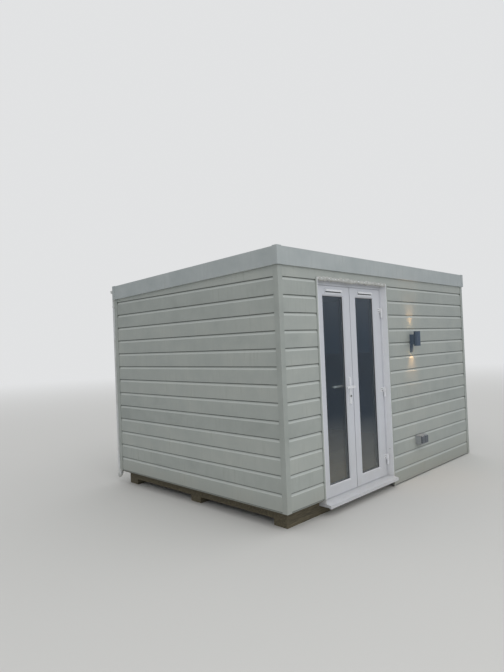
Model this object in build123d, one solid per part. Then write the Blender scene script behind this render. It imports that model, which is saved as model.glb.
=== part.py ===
from build123d import *
from math import cos, radians
import os

os.makedirs("parts", exist_ok=True)

# Garden office pod: a boarded timber cabin with a flat roof that falls to the rear, a pair of glazed
# doors that open outwards, a wall lamp and an outdoor socket. Millimetres. X runs along the front to
# the right, Y to the rear, Z up from the lowest ground.

# Overall size, over the corner trims
body_width = 3670
body_depth = 2590

# Boards
board_cover = 150
first_line = 165
board_lines = 14
sheet_thickness = 18
scoop_depth = 8
scoop_height = 30
high_side_bottom = 153
skirt_bottom = 10

# Base and floor
bearer_height = 60
bearer_width = 150
bearer_count = 3
joist_depth = 78
joist_thickness = 47
joist_spacing = 400
frame_setback = 60
deck_thickness = 22

# Walls and roof
wall_thickness = 125
fascia_bottom_front = 2207
fascia_height = 155
fascia_thickness = 18
roof_kerb = 22
roof_thickness = 115
roof_fall = 60
membrane_thickness = 3
drip_depth = 30
drip_standoff = 8
trim_leg = 55
trim_thickness = 5
cap_leg = 52
cap_thickness = 3
cap_rise = 6
cap_radius = 6
cap_top_chamfer = 2.5

# Rear gutter and downpipe
gutter_radius = 38
gutter_wall = 2.5
gutter_standoff = 4
gutter_below_roof = 20
gutter_lip = 4
bracket_count = 5
bracket_width = 25
bracket_from_end = 150
bracket_thickness = 3
outlet_radius = 26
outlet_length = 18
outlet_from_end = 36
pipe_fit = 0.3
pipe_below_gutter = 2
pipe_wall = 2.5
pipe_bottom = 60
shoe_turn = 55
shoe_radius = 70
clip_count = 2
clip_width = 22
clip_thickness = 3
clip_back = 8
clip_from_end = 150

# Doorway, measured along the front from the left end
door_from_left = 531
door_width = 1176
door_head = 2130
lining_thickness = 6
lining_joint = 0.3
edge_trim_width = 20
door_recess = 61
frame_depth = 80
frame_face = 22
head_face = 48
frame_stop = 20
stop_thickness = 15
threshold_plate = 3
threshold_height = 45
sill_top = 112
sill_projection = 53
sill_drop = 9
sill_nose = 28
sill_lip = 14
sill_lip_slope = 8

# Door leaves
leaf_gap = 6
meeting_gap = 8
leaf_depth = 60
leaf_bottom_gap = 5
hinge_stile = 129
meeting_stile = 105
top_rail = 95
bottom_rail = 108
bead_slope = 10
glass_recess = 18
unit_thickness = 24
pane_thickness = 4
glass_rebate = 9
glass_clearance = 0.3
meeting_chamfer = 12
meeting_chamfer_depth = 20
vent_width = 256
vent_height = 46
vent_hood_height = 25
vent_projection = 18
vent_wall = 2.5
vent_below_top = 28

# Hinges
hinge_heights = (291, 998, 1834)
hinge_length = 100
hinge_axis_out = 16
knuckle_radius = 11
hinge_plate = 4
leaf_plate_width = 50
frame_plate_width = 20
hinge_pin_radius = 3
hinge_pin_clearance = 0.1
hinge_pin_short = 6
hinge_running_gap = 0.5

# Handle
handle_height = 1108
plate_width = 30
plate_above = 92
plate_below = 173
plate_thickness = 9
plate_corner = 14
spindle_radius = 4
spindle_hole = 4.5
spindle_in_lever = 5
lever_neck_radius = 9
lever_standoff = 50
lever_length = 130
lever_width = 20
lever_thickness = 12
lever_seat_gap = 0.3
cylinder_drop = 92
cylinder_radius = 8.5
cylinder_tail = 16
cylinder_tail_width = 10
cylinder_proud = 3
handle_from_edge = 54

# Wall lamp
lamp_from_left = 2212
lamp_bottom = 1466
lamp_height = 163
lamp_radius = 35
lamp_wall = 3
lamp_standoff = 78
lens_recess = 10
lens_thickness = 4
lens_clearance = 0.3
lamp_plate_width = 46
lamp_plate_bottom = 1400
lamp_plate_top = 1595
lamp_plate_thickness = 14
lamp_arm_bottom = 1482

# Outdoor socket
socket_from_left = 2298
socket_width = 155
socket_bottom = 361
socket_height = 100
socket_depth = 64
socket_corner = 6
socket_lid_width = 68
socket_lid_height = 76
socket_lid_depth = 14
socket_lid_spacing = 74

# How far a cutting block runs past what it cuts
cut_clear = 50

# Worked out from the sizes above
front_reach = max(lamp_standoff + lamp_radius, sill_projection, socket_depth + socket_lid_depth)
gutter_out = fascia_thickness + gutter_standoff + gutter_radius
pipe_inner = outlet_radius + pipe_fit
pipe_outer = pipe_inner + pipe_wall
shoe_reach = shoe_radius - (shoe_radius - pipe_outer) * cos(radians(shoe_turn))
rear_reach = gutter_out + max(gutter_radius + bracket_thickness, shoe_reach)
half_width = body_width / 2 - trim_thickness
depth_between_faces = body_depth - 2 * trim_thickness
front_y = (front_reach - rear_reach - depth_between_faces) / 2
rear_y = front_y + depth_between_faces
core_front = front_y + sheet_thickness
core_rear = rear_y - sheet_thickness
core_half = half_width - sheet_thickness
room_front = core_front + wall_thickness
room_rear = core_rear - wall_thickness
room_half = core_half - wall_thickness
deck_bottom = bearer_height + joist_depth
floor_level = deck_bottom + deck_thickness
frame_half = core_half - frame_setback
frame_front = core_front + frame_setback
frame_rear = core_rear - frame_setback
door_left = door_from_left - body_width / 2
door_right = door_left + door_width
gap_left = door_left - lining_thickness
gap_right = door_right + lining_thickness
gap_head = door_head + lining_thickness
leaf_face = front_y + door_recess
leaf_back = leaf_face + leaf_depth
frame_back = leaf_face + frame_depth
stop_front = frame_back - stop_thickness
leaf_left = door_left + frame_face + leaf_gap
leaf_right = door_right - frame_face - leaf_gap
leaf_width = (leaf_right - leaf_left - meeting_gap) / 2
leaf_bottom = sill_top + threshold_plate + leaf_bottom_gap
head_underside = door_head - head_face
leaf_top = head_underside - leaf_gap
kerb_top_front = fascia_bottom_front + fascia_height
roof_top_front = kerb_top_front - roof_kerb


def fall_at(y):
    """How far the roof has dropped at y."""
    return roof_fall * (y - front_y) / depth_between_faces


def roof_top(y):
    return roof_top_front - fall_at(y)


def roof_under(y):
    return roof_top(y) - roof_thickness


def fascia_bottom(y):
    return fascia_bottom_front - fall_at(y)


def block(x0, x1, y0, y1, z0, z1):
    """An upright box between two corners."""
    centre = ((x0 + x1) / 2, (y0 + y1) / 2, (z0 + z1) / 2)
    return Pos(*centre) * Box(x1 - x0, y1 - y0, z1 - z0)


def side_prism(outline, x0, x1):
    """A (y, z) outline drawn along X."""
    face = make_face(Polyline(*[(x0, y, z) for y, z in outline], close=True))
    return extrude(face, amount=x1 - x0, dir=(1, 0, 0))


def plan_prism(outline, z0, z1):
    """An (x, y) outline drawn upwards."""
    face = make_face(Polyline(*[(x, y, z0) for x, y in outline], close=True))
    return extrude(face, amount=z1 - z0, dir=(0, 0, 1))


def under_roof(x0, x1, y0, y1, z0):
    """A wall block whose top follows the underside of the roof."""
    outline = [(y0, z0), (y1, z0), (y1, roof_under(y1)), (y0, roof_under(y0))]
    return side_prism(outline, x0, x1)


def boards(start, outward, along, length, bottom, top):
    """A sheet of lapped boards: each has a flat face, a scooped top edge and an undercut lower edge."""
    def at(depth, height):
        return Vector(*start, height) + Vector(*outward) * depth

    groove = sheet_thickness - scoop_depth
    edges = [Line(at(0, top), at(0, bottom)), Line(at(0, bottom), at(sheet_thickness, bottom))]
    face_from = bottom
    for number in range(-1, board_lines):
        line = first_line + number * board_cover
        scoop_from = line - scoop_height
        if scoop_from <= face_from or line >= top:
            continue
        middle = at(sheet_thickness - 0.7 * scoop_depth, scoop_from + 0.4 * scoop_height)
        edges.append(Line(at(sheet_thickness, face_from), at(sheet_thickness, scoop_from)))
        edges.append(ThreePointArc(at(sheet_thickness, scoop_from), middle, at(groove, line)))
        edges.append(Line(at(groove, line), at(sheet_thickness, line)))
        face_from = line
    edges.append(Line(at(sheet_thickness, face_from), at(sheet_thickness, top)))
    edges.append(Line(at(sheet_thickness, top), at(0, top)))
    return extrude(make_face(edges), amount=length, dir=(*along, 0))


def above_roof():
    """What lies above the roof's underside, to cut sloping tops."""
    near = front_y - cut_clear
    far = rear_y + cut_clear
    outline = [(near, roof_under(near)), (far, roof_under(far))]
    outline += [(far, kerb_top_front), (near, kerb_top_front)]
    return side_prism(outline, -half_width - cut_clear, half_width + cut_clear)


def save(name, shape):
    export_step(shape, f"parts/{name}.step")
    print(name, round(shape.volume / 1e6, 3))


# Base: bearers on the ground, a ladder of joists set back from the walls and let down at the doorway,
# and the deck
bearers = Part()
bearer_pitch = (frame_rear - frame_front - bearer_width) / (bearer_count - 1)
for number in range(bearer_count):
    near = frame_front + number * bearer_pitch
    bearers += block(-frame_half, frame_half, near, near + bearer_width, 0, bearer_height)
save("base_bearers", bearers)

floor_frame = block(-frame_half, frame_half, frame_front, frame_rear, bearer_height, deck_bottom)
bay_count = round((2 * frame_half - joist_thickness) / joist_spacing)
bay_pitch = (2 * frame_half - joist_thickness) / bay_count
for number in range(bay_count):
    bay_start = -frame_half + joist_thickness + number * bay_pitch
    bay_end = bay_start + bay_pitch - joist_thickness
    floor_frame -= block(bay_start, bay_end, frame_front + joist_thickness, frame_rear - joist_thickness,
                         bearer_height, deck_bottom)
floor_frame -= block(gap_left, gap_right, frame_front, frame_back, sill_top, deck_bottom)
save("floor_frame", floor_frame)

deck = block(-core_half, core_half, core_front, core_rear, deck_bottom, floor_level)
deck -= block(gap_left, gap_right, core_front, frame_back, deck_bottom, floor_level)
save("floor_deck", deck)

# Walls, solid insulated cores, split beside and over the doorway
save("front_wall_left", under_roof(-core_half, gap_left, core_front, room_front, floor_level))
save("front_wall_right", under_roof(gap_right, core_half, core_front, room_front, floor_level))
save("front_wall_head", under_roof(gap_left, gap_right, core_front, room_front, gap_head))
save("left_wall", under_roof(-core_half, -room_half, room_front, room_rear, floor_level))
save("right_wall", under_roof(room_half, core_half, room_front, room_rear, floor_level))
save("rear_wall", under_roof(-core_half, core_half, room_rear, core_rear, floor_level))

# Boarding: one sheet for each stretch of wall
top_edge = roof_top_front
cut = above_roof()
front_length_left = gap_left + half_width
front_length_right = half_width - gap_right
side_length = depth_between_faces - 2 * sheet_thickness
facing_front = ((0, -1), (1, 0))
facing_rear = ((0, 1), (1, 0))
front_left = boards((-half_width, core_front), *facing_front, front_length_left, high_side_bottom, top_edge)
save("front_cladding_left", front_left - cut)
front_right = boards((gap_right, core_front), *facing_front, front_length_right, skirt_bottom, top_edge)
save("front_cladding_right", front_right - cut)
front_head = boards((gap_left, core_front), *facing_front, gap_right - gap_left, gap_head, top_edge)
save("front_cladding_head", front_head - cut)
left_side = boards((-core_half, core_front), (-1, 0), (0, 1), side_length, high_side_bottom, top_edge)
save("left_cladding", left_side - cut)
right_side = boards((core_half, core_front), (1, 0), (0, 1), side_length, skirt_bottom, top_edge)
save("right_cladding", right_side - cut)
rear_length_high = door_right + half_width
rear_length_low = half_width - door_right
rear_high = boards((-half_width, core_rear), *facing_rear, rear_length_high, high_side_bottom, top_edge)
rear_low = boards((door_right, core_rear), *facing_rear, rear_length_low, skirt_bottom, top_edge)
save("rear_cladding", rear_high + rear_low - cut)


def corner_trim(side, end, bottom):
    """An angle over one corner: side is -1 left or 1 right, end is -1 front or 1 rear."""
    corner_y = front_y if end < 0 else rear_y
    outer_x = side * (half_width + trim_thickness)
    outer_y = corner_y + end * trim_thickness
    leg_x = outer_x - side * trim_leg
    leg_y = outer_y - end * trim_leg
    inner_x = side * half_width
    top = fascia_bottom(max(leg_y, outer_y))
    outline = [(outer_x, outer_y), (leg_x, outer_y), (leg_x, corner_y), (inner_x, corner_y)]
    outline += [(inner_x, leg_y), (outer_x, leg_y)]
    return plan_prism(outline, bottom, top)


corner_trims = Part()
for side, end, bottom in ((-1, -1, high_side_bottom), (1, -1, skirt_bottom),
                          (-1, 1, high_side_bottom), (1, 1, skirt_bottom)):
    corner_trims += corner_trim(side, end, bottom)
lining_front = front_y - trim_thickness
edge_trims = block(gap_left - edge_trim_width, gap_left, lining_front, front_y, high_side_bottom, gap_head)
edge_trims += block(gap_right, gap_right + edge_trim_width, lining_front, front_y, skirt_bottom, gap_head)
save("cladding_trims", corner_trims + edge_trims)

# Roof: insulated panel, rubber sheet turned up at the kerbs, and fascia boards
roof_outline = [(front_y, roof_under(front_y)), (rear_y, roof_under(rear_y))]
roof_outline += [(rear_y, roof_top(rear_y)), (front_y, roof_top(front_y))]
save("roof_panel", side_prism(roof_outline, -half_width, half_width))

outer_half = half_width + fascia_thickness
fascia_back = rear_y + fascia_thickness
drip_out = fascia_back + drip_standoff
lap_half = outer_half - cap_leg


def sheet_outline(y0, y1, thickness):
    """A strip lying on the roof between two places."""
    return [(y0, roof_top(y0)), (y1, roof_top(y1)), (y1, roof_top(y1) + thickness),
            (y0, roof_top(y0) + thickness)]


membrane = side_prism(sheet_outline(front_y, rear_y, membrane_thickness), -half_width, half_width)
front_upstand = sheet_outline(front_y, front_y + membrane_thickness, roof_kerb)
membrane += side_prism(front_upstand, -half_width, half_width)
side_upstand = sheet_outline(front_y, rear_y, roof_kerb)
membrane += side_prism(side_upstand, -half_width, -half_width + membrane_thickness)
membrane += side_prism(side_upstand, half_width - membrane_thickness, half_width)
lap_top = roof_top(rear_y) + membrane_thickness
lap = [(rear_y, roof_top(rear_y)), (drip_out, roof_top(rear_y)), (drip_out, roof_top(rear_y) - drip_depth)]
lap += [(drip_out + membrane_thickness, roof_top(rear_y) - drip_depth)]
lap += [(drip_out + membrane_thickness, lap_top), (rear_y, lap_top)]
membrane += side_prism(lap, -lap_half, lap_half)
save("roof_membrane", membrane)

save("front_fascia", block(-outer_half, outer_half, front_y - fascia_thickness, front_y,
                           fascia_bottom_front, kerb_top_front))
save("rear_fascia", block(-outer_half, outer_half, rear_y, fascia_back,
                          fascia_bottom(rear_y), roof_top(rear_y)))
side_fascia = [(front_y, fascia_bottom_front), (rear_y, fascia_bottom(rear_y))]
side_fascia += [(rear_y, roof_top(rear_y) + roof_kerb), (front_y, kerb_top_front)]
side_fascias = side_prism(side_fascia, -outer_half, -half_width)
save("side_fascias", side_fascias + side_prism(side_fascia, half_width, outer_half))


def fascia_cap(side, end):
    """A rounded cover over one corner of the fascia, open underneath."""
    corner_y = front_y - fascia_thickness if end < 0 else fascia_back
    bottom = fascia_bottom(corner_y)
    top = kerb_top_front - fall_at(corner_y if end > 0 else front_y) + cap_rise
    outer = cap_leg + cap_thickness
    centre_x = side * (outer_half + cap_thickness - outer / 2)
    centre_y = corner_y + end * (cap_thickness - outer / 2)
    cover = Pos(centre_x, centre_y, (bottom + top) / 2) * Box(outer, outer, top - bottom)
    uprights = cover.edges().filter_by(Axis.Z)
    arris = uprights.sort_by(lambda edge: edge.center().X * side + edge.center().Y * end)[-1]
    cover = fillet(arris, cap_radius)
    cover = chamfer(cover.faces().sort_by(Axis.Z)[-1].edges(), cap_top_chamfer)
    inside = Pos(centre_x - side * cap_thickness, centre_y - end * cap_thickness,
                 (bottom + top) / 2 - cap_thickness)
    return cover - inside * Box(outer, outer, top - bottom)


caps = Part()
for side in (-1, 1):
    for end in (-1, 1):
        caps += fascia_cap(side, end)
save("fascia_corner_caps", caps)

# Gutter on the rear fascia, with its brackets and downpipe
gutter_y = rear_y + gutter_out
gutter_top = roof_top(rear_y) - gutter_below_roof


def along_gutter(sketch, x0, x1):
    """A section drawn round the gutter's centre line, run along X."""
    plane = Plane(origin=(x0, gutter_y, gutter_top), x_dir=(0, 1, 0), z_dir=(1, 0, 0))
    return extrude(plane * sketch, amount=x1 - x0)


def half_disc(radius):
    return Circle(radius) & (Pos(0, -radius) * Rectangle(4 * radius, 2 * radius))


channel_inner = gutter_radius - gutter_wall
outlet_x = -half_width + outlet_from_end
outlet_bottom = gutter_top - gutter_radius - outlet_length
gutter = along_gutter(half_disc(gutter_radius) - Circle(channel_inner), -half_width, half_width)
gutter += along_gutter(half_disc(gutter_radius), -half_width, -half_width + gutter_wall)
gutter += along_gutter(half_disc(gutter_radius), half_width - gutter_wall, half_width)
lip = Pos(channel_inner - gutter_lip / 2, -gutter_lip / 2) * Rectangle(gutter_lip, gutter_lip)
spout_height = outlet_length + gutter_radius / 2
spout_centre = Pos(outlet_x, gutter_y, outlet_bottom + spout_height / 2)
gutter += spout_centre * Cylinder(outlet_radius, spout_height)
gutter -= spout_centre * Cylinder(outlet_radius - gutter_wall, spout_height)
gutter -= along_gutter(Circle(channel_inner), -half_width + gutter_wall, half_width - gutter_wall)
gutter += along_gutter(lip, -half_width + gutter_wall, half_width - gutter_wall)
save("rear_gutter", gutter)

brackets = Part()
bracket_pitch = (2 * half_width - 2 * bracket_from_end) / (bracket_count - 1)
ring_outer = gutter_radius + bracket_thickness
for number in range(bracket_count):
    start = -half_width + bracket_from_end + number * bracket_pitch - bracket_width / 2
    hook = along_gutter(half_disc(ring_outer) - Circle(gutter_radius), start, start + bracket_width)
    hook -= block(start - 1, start + bracket_width + 1, rear_y, fascia_back, 0, gutter_top)
    plate = block(start, start + bracket_width, fascia_back, fascia_back + bracket_thickness,
                  gutter_top - ring_outer, gutter_top)
    brackets += hook + plate

pipe_top = gutter_top - gutter_radius - pipe_below_gutter
bend_top = pipe_bottom + shoe_radius
tube_ring = Circle(pipe_outer) - Circle(pipe_inner)
bend_plane = Plane((outlet_x, gutter_y, bend_top))
straight = extrude(bend_plane * tube_ring, amount=pipe_top - bend_top)
bend_axis = Axis((outlet_x, gutter_y + shoe_radius, bend_top), (1, 0, 0))
elbow = revolve(bend_plane * tube_ring, axis=bend_axis, revolution_arc=shoe_turn)
pipe = straight + elbow
clip_outer = pipe_outer + clip_thickness
wall_gap = gutter_y - rear_y
behind_pipe = Pos(0, -wall_gap / 2) * Rectangle(2 * clip_outer, wall_gap)
clip_ring = Circle(clip_outer) + behind_pipe - Circle(pipe_outer)
clip_ring -= Pos(0, (clip_back - wall_gap) / 2) * Rectangle(2 * pipe_outer, wall_gap - clip_back)
clips = Part()
clip_pitch = (pipe_top - bend_top - 2 * clip_from_end) / (clip_count - 1)
for number in range(clip_count):
    low = bend_top + clip_from_end + number * clip_pitch - clip_width / 2
    clips += extrude(Plane((outlet_x, gutter_y, low)) * clip_ring, amount=clip_width)
clips -= corner_trims
save("downpipe", pipe)
save("rainwater_brackets", brackets + clips)

# Door surround
linings = block(gap_left, door_left, lining_front, leaf_face, sill_top, gap_head)
linings += block(door_right, gap_right, lining_front, leaf_face, sill_top, gap_head)
linings += block(door_left + lining_joint, door_right - lining_joint, front_y, leaf_face,
                 door_head, gap_head)
save("door_linings", linings)


def door_jamb(outer, side):
    """One upright of the door frame: side is 1 on the left, where the opening lies to its right."""
    face = outer + side * (lining_thickness + frame_face)
    jamb = block(min(outer, face), max(outer, face), leaf_face, frame_back, sill_top, gap_head)
    stop = face + side * frame_stop
    return jamb + block(min(face, stop), max(face, stop), stop_front, frame_back, sill_top, head_underside)


save("door_jambs", door_jamb(gap_left, 1) + door_jamb(gap_right, -1))
face_left = door_left + frame_face
face_right = door_right - frame_face
stop_left = face_left + frame_stop
stop_right = face_right - frame_stop
frame_head = block(face_left, face_right, leaf_face, frame_back, head_underside, gap_head)
frame_head += block(stop_left, stop_right, stop_front, frame_back,
                    head_underside - frame_stop, head_underside)
save("door_frame_head", frame_head)
threshold = block(face_left, face_right, leaf_face, stop_front, sill_top, sill_top + threshold_plate)
threshold += block(stop_left, stop_right, stop_front, frame_back, sill_top, sill_top + threshold_height)
save("door_threshold", threshold)

nose_y = front_y - sill_projection
nose_top = sill_top - sill_drop
nose_bottom = nose_top - sill_nose
sill_under = nose_bottom + sill_lip_slope
sill_outline = [(frame_front, sill_top), (lining_front, sill_top), (nose_y, nose_top)]
sill_outline += [(nose_y, nose_bottom), (nose_y + sill_lip, nose_bottom)]
sill_outline += [(nose_y + sill_lip + sill_lip_slope, sill_under), (frame_front, sill_under)]
save("door_sill", side_prism(sill_outline, gap_left, gap_right))


def hinge_half(axis_x, side, middle, upper):
    """One half of a flag hinge: a plate on the face and half the knuckle; side points to its plate."""
    low = middle + hinge_running_gap if upper else middle - hinge_length / 2
    high = middle + hinge_length / 2 if upper else middle - hinge_running_gap
    axis_y = leaf_face - hinge_axis_out
    height = high - low
    knuckle = Pos(axis_x, axis_y, (low + high) / 2) * Cylinder(knuckle_radius, height)
    near = axis_x + side * leaf_gap / 2
    far = near + side * (leaf_plate_width if upper else frame_plate_width)
    plate = block(min(near, far), max(near, far), leaf_face - hinge_plate, leaf_face, low, high)
    web_far = near + side * knuckle_radius
    web = block(min(axis_x, web_far), max(axis_x, web_far), axis_y, leaf_face - hinge_plate, low, high)
    return knuckle + plate + web


left_axis = leaf_left - leaf_gap / 2
right_axis = leaf_right + leaf_gap / 2
frame_hinges = Part()
leaf_hinges = {"left": Part(), "right": Part()}
for middle in hinge_heights:
    for name, axis_x, side in (("left", left_axis, 1), ("right", right_axis, -1)):
        axis_y = leaf_face - hinge_axis_out
        pin_bottom = middle - hinge_length / 2
        pin_height = hinge_length - hinge_pin_short
        fixed = hinge_half(axis_x, -side, middle, False)
        fixed += Pos(axis_x, axis_y, pin_bottom + pin_height / 2) * Cylinder(hinge_pin_radius, pin_height)
        frame_hinges += fixed
        moving = hinge_half(axis_x, side, middle, True)
        bore = Cylinder(hinge_pin_radius + hinge_pin_clearance, hinge_length / 2)
        moving -= Pos(axis_x, axis_y, middle + hinge_length / 4 - hinge_pin_short / 2) * bore
        leaf_hinges[name] += moving
save("frame_hinges", frame_hinges)


def hooded_vent(middle_x):
    """A trickle vent on the top rail: a back plate under a hood that is open below."""
    vent_top = leaf_top - vent_below_top
    hood_front = leaf_face - vent_projection
    hood_bottom = vent_top - vent_hood_height
    plate_front = leaf_face - vent_wall
    slope_break = 0.4 * vent_hood_height
    outer = [(leaf_face, vent_top), (hood_front, vent_top - slope_break), (hood_front, hood_bottom)]
    outer += [(plate_front, hood_bottom), (plate_front, vent_top - vent_height)]
    outer += [(leaf_face, vent_top - vent_height)]
    hood_inside = hood_front + vent_wall
    inner = [(plate_front, vent_top - 2 * vent_wall), (hood_inside, vent_top - slope_break - vent_wall)]
    inner += [(hood_inside, hood_bottom - vent_wall), (plate_front, hood_bottom - vent_wall)]
    half = vent_width / 2
    vent = side_prism(outer, middle_x - half, middle_x + half)
    return vent - side_prism(inner, middle_x - half + vent_wall, middle_x + half - vent_wall)


def door_leaf(x0, x1, meeting):
    """A leaf frame with its panes and vent: meeting is 1 if its free edge is at x1, else -1."""
    if meeting > 0:
        opening = (x0 + hinge_stile, x1 - meeting_stile)
    else:
        opening = (x0 + meeting_stile, x1 - hinge_stile)
    middle_x = (opening[0] + opening[1]) / 2
    glass_bottom = leaf_bottom + bottom_rail
    glass_top = leaf_top - top_rail
    glass_width = opening[1] - opening[0]
    glass_height = glass_top - glass_bottom
    middle_z = (glass_bottom + glass_top) / 2
    leaf = block(x0, x1, leaf_face, leaf_back, leaf_bottom, leaf_top)
    leaf -= block(*opening, leaf_face, leaf_back, glass_bottom, glass_top)
    for face_y, inward in ((leaf_face, 1), (leaf_back, -1)):
        plane = Plane(origin=(middle_x, face_y, middle_z), x_dir=(1, 0, 0), z_dir=(0, inward, 0))
        sketch = plane * Rectangle(glass_width + 2 * bead_slope, glass_height + 2 * bead_slope)
        leaf -= extrude(sketch, amount=bead_slope, taper=45)
    unit_front = leaf_face + glass_recess
    rebate = glass_rebate + glass_clearance
    leaf -= block(opening[0] - rebate, opening[1] + rebate, unit_front - glass_clearance,
                  unit_front + unit_thickness + glass_clearance, glass_bottom - rebate, glass_top + rebate)
    edge = x1 if meeting > 0 else x0
    corner = [(edge, leaf_back), (edge, leaf_back - meeting_chamfer_depth)]
    corner += [(edge - meeting * meeting_chamfer, leaf_back)]
    leaf -= plan_prism(corner, leaf_bottom, leaf_top)
    panes = Part()
    for pane_front in (unit_front, unit_front + unit_thickness - pane_thickness):
        panes += block(opening[0] - glass_rebate, opening[1] + glass_rebate, pane_front,
                       pane_front + pane_thickness, glass_bottom - glass_rebate, glass_top + glass_rebate)
    return leaf, panes, hooded_vent(middle_x)


left_leaf, left_panes, left_vent = door_leaf(leaf_left, leaf_left + leaf_width, 1)
right_leaf, right_panes, right_vent = door_leaf(leaf_right - leaf_width, leaf_right, -1)
handle_x = leaf_left + leaf_width - handle_from_edge
spindle = Pos(handle_x, (leaf_face + leaf_back) / 2, handle_height) * Rot(90, 0, 0)
left_leaf -= spindle * Cylinder(spindle_hole, leaf_depth + 2)
save("left_leaf_frame", left_leaf)
save("left_leaf_glass", left_panes)
save("left_leaf_vent", left_vent)
save("left_leaf_hinges", leaf_hinges["left"])
save("right_leaf_frame", right_leaf)
save("right_leaf_glass", right_panes)
save("right_leaf_vent", right_vent)
save("right_leaf_hinges", leaf_hinges["right"])

# Handle: a plate and lock cylinder on each face, and two levers on one spindle
plate_length = plate_above + plate_below
plate_middle = handle_height + (plate_above - plate_below) / 2
plates = Part()
for face_y, out in ((leaf_face, -1), (leaf_back, 1)):
    plane = Plane(origin=(handle_x, face_y, plate_middle), x_dir=(1, 0, 0), z_dir=(0, out, 0))
    plate_sketch = RectangleRounded(plate_width, plate_length, plate_corner)
    plate = extrude(plane * plate_sketch, amount=plate_thickness)
    lock_z = handle_height - cylinder_drop
    cylinder = Pos(handle_x, face_y + out * (plate_thickness + cylinder_proud) / 2, lock_z) * Rot(90, 0, 0)
    plate += cylinder * Cylinder(cylinder_radius, plate_thickness + cylinder_proud)
    tail_low = lock_z - cylinder_tail
    tail_out = face_y + out * (plate_thickness + cylinder_proud)
    half_tail = cylinder_tail_width / 2
    plate += block(handle_x - half_tail, handle_x + half_tail, min(face_y, tail_out), max(face_y, tail_out),
                   tail_low, lock_z)
    plates += plate
plates -= spindle * Cylinder(spindle_hole, leaf_depth + 4 * plate_thickness)
save("handle_plates", plates)

lever_half = leaf_depth / 2 + plate_thickness + lever_seat_gap
levers = spindle * Cylinder(spindle_radius, 2 * (lever_half + spindle_in_lever))
leaf_middle = (leaf_face + leaf_back) / 2
for out in (-1, 1):
    seat_y = leaf_middle + out * lever_half
    plane = Plane(origin=(handle_x, seat_y, handle_height), x_dir=(1, 0, 0), z_dir=(0, out, 0))
    neck = extrude(plane * Circle(lever_neck_radius), amount=lever_standoff)
    grip_plane = Plane(origin=(handle_x, seat_y + out * (lever_standoff - lever_thickness), handle_height),
                       x_dir=(1, 0, 0), z_dir=(0, out, 0))
    grip_sketch = Pos(-lever_length / 2 + lever_width / 2, 0) * SlotOverall(lever_length, lever_width)
    grip = extrude(grip_plane * grip_sketch, amount=lever_thickness)
    levers += neck + grip
save("door_levers", levers)

# Wall lamp: a tube on a bracket, lit at both ends
lamp_x = lamp_from_left - body_width / 2
lamp_y = front_y - lamp_standoff
lamp_middle = lamp_bottom + lamp_height / 2
tube = Pos(lamp_x, lamp_y, lamp_middle) * Cylinder(lamp_radius, lamp_height)
tube_inner = lamp_radius - lamp_wall
well = lens_recess + lens_thickness
lenses = Part()
for end in (-1, 1):
    rim = lamp_middle + end * lamp_height / 2
    tube -= Pos(lamp_x, lamp_y, rim - end * well / 2) * Cylinder(tube_inner, well)
    lens_middle = rim - end * (lens_recess + lens_thickness / 2)
    lenses += Pos(lamp_x, lamp_y, lens_middle) * Cylinder(tube_inner - lens_clearance, lens_thickness)
save("wall_lamp_lenses", lenses)

half_plate = lamp_plate_width / 2
lamp_bracket = block(lamp_x - half_plate, lamp_x + half_plate, front_y - lamp_plate_thickness, front_y,
                     lamp_plate_bottom, lamp_plate_top)
lamp_bracket += block(lamp_x - half_plate, lamp_x + half_plate, lamp_y, front_y - lamp_plate_thickness,
                      lamp_arm_bottom, lamp_plate_top)
lamp_bracket -= Pos(lamp_x, lamp_y, lamp_middle) * Cylinder(lamp_radius, 2 * lamp_height)
save("wall_lamp_body", tube + lamp_bracket)

# Outdoor socket: a box on the boards with two lids
socket_x = socket_from_left - body_width / 2
socket_top = socket_bottom + socket_height
socket_middle = (socket_bottom + socket_top) / 2
socket_box = block(socket_x - socket_width / 2, socket_x + socket_width / 2,
                   front_y - socket_depth, front_y, socket_bottom, socket_top)
socket_box = fillet(socket_box.edges().filter_by(Axis.Y), socket_corner)
save("socket_box", socket_box)
lids = Part()
for side in (-1, 1):
    middle_x = socket_x + side * socket_lid_spacing / 2
    lid = block(middle_x - socket_lid_width / 2, middle_x + socket_lid_width / 2,
                front_y - socket_depth - socket_lid_depth, front_y - socket_depth,
                socket_middle - socket_lid_height / 2, socket_middle + socket_lid_height / 2)
    lids += fillet(lid.edges().filter_by(Axis.Y), socket_corner)
save("socket_lids", lids)
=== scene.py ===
# %% [markdown]
# Garden office pod, dressed for its portrait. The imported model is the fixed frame: every board, trim, leaf
# and hinge already stands at its real place. This lesson gives each a finish and adds the small things that
# a joiner's drawing leaves out, such as the seals, the screws and the bead of foam over the doors.

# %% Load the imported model
import math

import bmesh
import bpy
from mathutils import Matrix, Vector


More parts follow.
